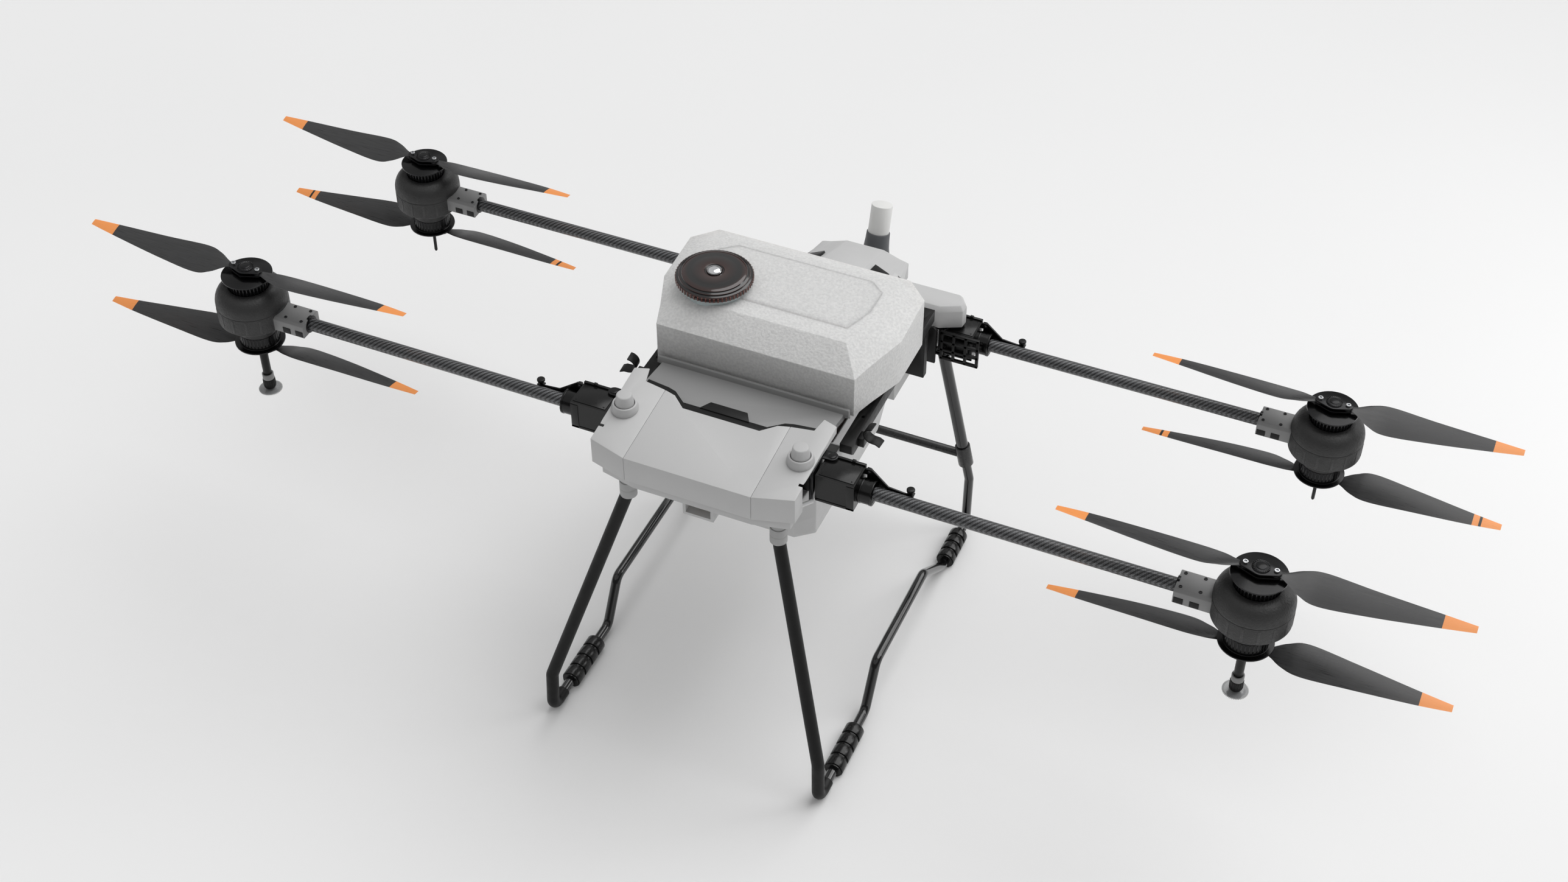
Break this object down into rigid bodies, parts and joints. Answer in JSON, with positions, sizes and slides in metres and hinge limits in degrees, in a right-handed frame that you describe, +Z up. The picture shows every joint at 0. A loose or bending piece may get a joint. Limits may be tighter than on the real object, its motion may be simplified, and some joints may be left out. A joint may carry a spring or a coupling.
{
  "type": "agricultural spray drone",
  "caption": "Folding-arm agricultural spraying drone with stacked coaxial propellers, a lift-out liquid tank, spinning-disc spray heads and tubular skids.",
  "frame": {"origin": "on the floor, midway between the outer edges of the front feet and the back of the antenna, on the middle plane", "axes": "+Z up, -Y the way the nose looks, +X the side of the aircraft's own left arm tips"},
  "size_m": [2.7132, 1.04, 0.843],
  "materials": {
    "anodised_black": "black anodised",
    "antenna_white": "satin moulded",
    "battery_case": "moulded case",
    "camera_brass": "machined",
    "cap_black": "gloss moulded",
    "carbon_blade": "satin carbon-filled nylon, orange tips",
    "carbon_tube": "clear-coated carbon twill",
    "chrome_button": "polished",
    "cover_grey": "satin moulded covers",
    "disc_plastic": "moulded",
    "fitting_grey": "moulded",
    "gloss_black_nylon": "gloss moulded nylon",
    "hinge_aluminium": "black anodised",
    "leg_tube": "glossy carbon tube",
    "lever_black": "moulded",
    "pod_black": "fine-grained moulding",
    "pump_black": "moulded",
    "sensor_black": "moulded",
    "sleeve_rubber": "matte",
    "structure_black": "moulded and laminated structure",
    "tank_translucent": "frosted translucent polyethylene"
  },
  "bodies": {
    "airframe": {"antenna": "antenna_white", "arm_clips": "structure_black", "battery_pack": "battery_case", "belly_tub": "cover_grey", "camera_frame": "cover_grey", "cross_beams": "structure_black", "flight_controller": "sensor_black", "fold_hinges": "hinge_aluminium", "front_legs": "leg_tube", "gnss_pucks": "cover_grey", "leg_fittings": "fitting_grey", "nose_cover": "cover_grey", "nose_cover_wings": "cover_grey", "nose_pan": "structure_black", "rear_fairing": "cover_grey", "rear_hump": "cover_grey", "rear_legs": "leg_tube", "side_rails": "structure_black", "skid_runners": "leg_tube", "skid_sleeves": "sleeve_rubber", "spray_pumps": "pump_black", "tank_deck": "fitting_grey"},
    "front_left_arm": {"front_left_arm_root": "gloss_black_nylon", "front_left_arm_tube": "carbon_tube", "front_left_motor_pod": "pod_black"},
    "front_left_lever": {"front_left_lock_lever": "lever_black"},
    "front_left_upper_propeller": {"front_left_upper_rotor": "anodised_black", "front_left_upper_blades": "carbon_blade"},
    "front_left_lower_propeller": {"front_left_lower_rotor": "anodised_black", "front_left_lower_blades": "carbon_blade"},
    "front_left_atomiser": {"front_left_spray_disc": "disc_plastic"},
    "front_right_arm": {"front_right_arm_root": "gloss_black_nylon", "front_right_arm_tube": "carbon_tube", "front_right_motor_pod": "pod_black"},
    "front_right_lever": {"front_right_lock_lever": "lever_black"},
    "front_right_upper_propeller": {"front_right_upper_rotor": "anodised_black", "front_right_upper_blades": "carbon_blade"},
    "front_right_lower_propeller": {"front_right_lower_rotor": "anodised_black", "front_right_lower_blades": "carbon_blade"},
    "front_right_atomiser": {"front_right_spray_disc": "disc_plastic"},
    "rear_left_arm": {"rear_left_arm_root": "gloss_black_nylon", "rear_left_arm_tube": "carbon_tube", "rear_left_motor_pod": "pod_black"},
    "rear_left_lever": {"rear_left_lock_lever": "lever_black"},
    "rear_left_upper_propeller": {"rear_left_upper_rotor": "anodised_black", "rear_left_upper_blades": "carbon_blade"},
    "rear_left_lower_propeller": {"rear_left_lower_rotor": "anodised_black", "rear_left_lower_blades": "carbon_blade"},
    "rear_right_arm": {"rear_right_arm_root": "gloss_black_nylon", "rear_right_arm_tube": "carbon_tube", "rear_right_motor_pod": "pod_black"},
    "rear_right_lever": {"rear_right_lock_lever": "lever_black"},
    "rear_right_upper_propeller": {"rear_right_upper_rotor": "anodised_black", "rear_right_upper_blades": "carbon_blade"},
    "rear_right_lower_propeller": {"rear_right_lower_rotor": "anodised_black", "rear_right_lower_blades": "carbon_blade"},
    "tank_unit": {"tank": "tank_translucent"},
    "filler_cap": {"tank_cap": "cap_black"},
    "vent_button": {"cap_button": "chrome_button"},
    "camera": {"fpv_camera": "camera_brass"}
  },
  "joints": [
    {"name": "front_left_arm_fold", "type": "hinge", "parent": "airframe", "child": "front_left_arm", "pos_m": [0.219, -0.2965, 0.676], "axis": [0, 0, 1], "range_deg": [0, 35]},
    {"name": "front_left_lever_lift", "type": "hinge", "parent": "front_left_arm", "child": "front_left_lever", "pos_m": [0.291, -0.2955, 0.703], "axis": [0, -1, 0], "range_deg": [0, 60]},
    {"name": "front_left_upper_spin", "type": "hinge", "parent": "front_left_arm", "child": "front_left_upper_propeller", "pos_m": [1, -0.3195, 0.6765], "axis": [0, 0, 1], "continuous": true},
    {"name": "front_left_lower_spin", "type": "hinge", "parent": "front_left_arm", "child": "front_left_lower_propeller", "pos_m": [1, -0.3195, 0.6765], "axis": [0, 0, 1], "continuous": true},
    {"name": "front_left_disc_spin", "type": "hinge", "parent": "front_left_arm", "child": "front_left_atomiser", "pos_m": [1, -0.3195, 0.47], "axis": [0, 0, 1], "continuous": true},
    {"name": "front_right_arm_fold", "type": "hinge", "parent": "airframe", "child": "front_right_arm", "pos_m": [-0.219, -0.2965, 0.676], "axis": [0, 0, -1], "range_deg": [0, 35]},
    {"name": "front_right_lever_lift", "type": "hinge", "parent": "front_right_arm", "child": "front_right_lever", "pos_m": [-0.291, -0.2955, 0.703], "axis": [0, 1, 0], "range_deg": [0, 60]},
    {"name": "front_right_upper_spin", "type": "hinge", "parent": "front_right_arm", "child": "front_right_upper_propeller", "pos_m": [-1, -0.3195, 0.6765], "axis": [0, 0, 1], "continuous": true},
    {"name": "front_right_lower_spin", "type": "hinge", "parent": "front_right_arm", "child": "front_right_lower_propeller", "pos_m": [-1, -0.3195, 0.6765], "axis": [0, 0, 1], "continuous": true},
    {"name": "front_right_disc_spin", "type": "hinge", "parent": "front_right_arm", "child": "front_right_atomiser", "pos_m": [-1, -0.3195, 0.47], "axis": [0, 0, 1], "continuous": true},
    {"name": "rear_left_arm_fold", "type": "hinge", "parent": "airframe", "child": "rear_left_arm", "pos_m": [0.219, 0.2965, 0.526], "axis": [0, 0, -1], "range_deg": [0, 35]},
    {"name": "rear_left_lever_lift", "type": "hinge", "parent": "rear_left_arm", "child": "rear_left_lever", "pos_m": [0.291, 0.3435, 0.553], "axis": [0, -1, 0], "range_deg": [0, 60]},
    {"name": "rear_left_upper_spin", "type": "hinge", "parent": "rear_left_arm", "child": "rear_left_upper_propeller", "pos_m": [1, 0.3195, 0.5195], "axis": [0, 0, 1], "continuous": true},
    {"name": "rear_left_lower_spin", "type": "hinge", "parent": "rear_left_arm", "child": "rear_left_lower_propeller", "pos_m": [1, 0.3195, 0.5195], "axis": [0, 0, 1], "continuous": true},
    {"name": "rear_right_arm_fold", "type": "hinge", "parent": "airframe", "child": "rear_right_arm", "pos_m": [-0.219, 0.2965, 0.526], "axis": [0, 0, 1], "range_deg": [0, 35]},
    {"name": "rear_right_lever_lift", "type": "hinge", "parent": "rear_right_arm", "child": "rear_right_lever", "pos_m": [-0.291, 0.3435, 0.553], "axis": [0, 1, 0], "range_deg": [0, 60]},
    {"name": "rear_right_upper_spin", "type": "hinge", "parent": "rear_right_arm", "child": "rear_right_upper_propeller", "pos_m": [-1, 0.3195, 0.5195], "axis": [0, 0, 1], "continuous": true},
    {"name": "rear_right_lower_spin", "type": "hinge", "parent": "rear_right_arm", "child": "rear_right_lower_propeller", "pos_m": [-1, 0.3195, 0.5195], "axis": [0, 0, 1], "continuous": true},
    {"name": "tank_lift", "type": "slide", "parent": "airframe", "child": "tank_unit", "axis": [0, 0, 1], "range_m": [0, 0.2]},
    {"name": "cap_turn", "type": "hinge", "parent": "tank_unit", "child": "filler_cap", "pos_m": [-0.132, -0.037, 0.826], "axis": [0, 0, 1], "range_deg": [0, 90]},
    {"name": "vent_press", "type": "slide", "parent": "filler_cap", "child": "vent_button", "axis": [0, 0, -1], "range_m": [0, 0.003], "stiffness_N_per_m": 400},
    {"name": "camera_tilt", "type": "hinge", "parent": "airframe", "child": "camera", "pos_m": [0, -0.3875, 0.594], "axis": [1, 0, 0], "range_deg": [-35, 20]}
  ]
}
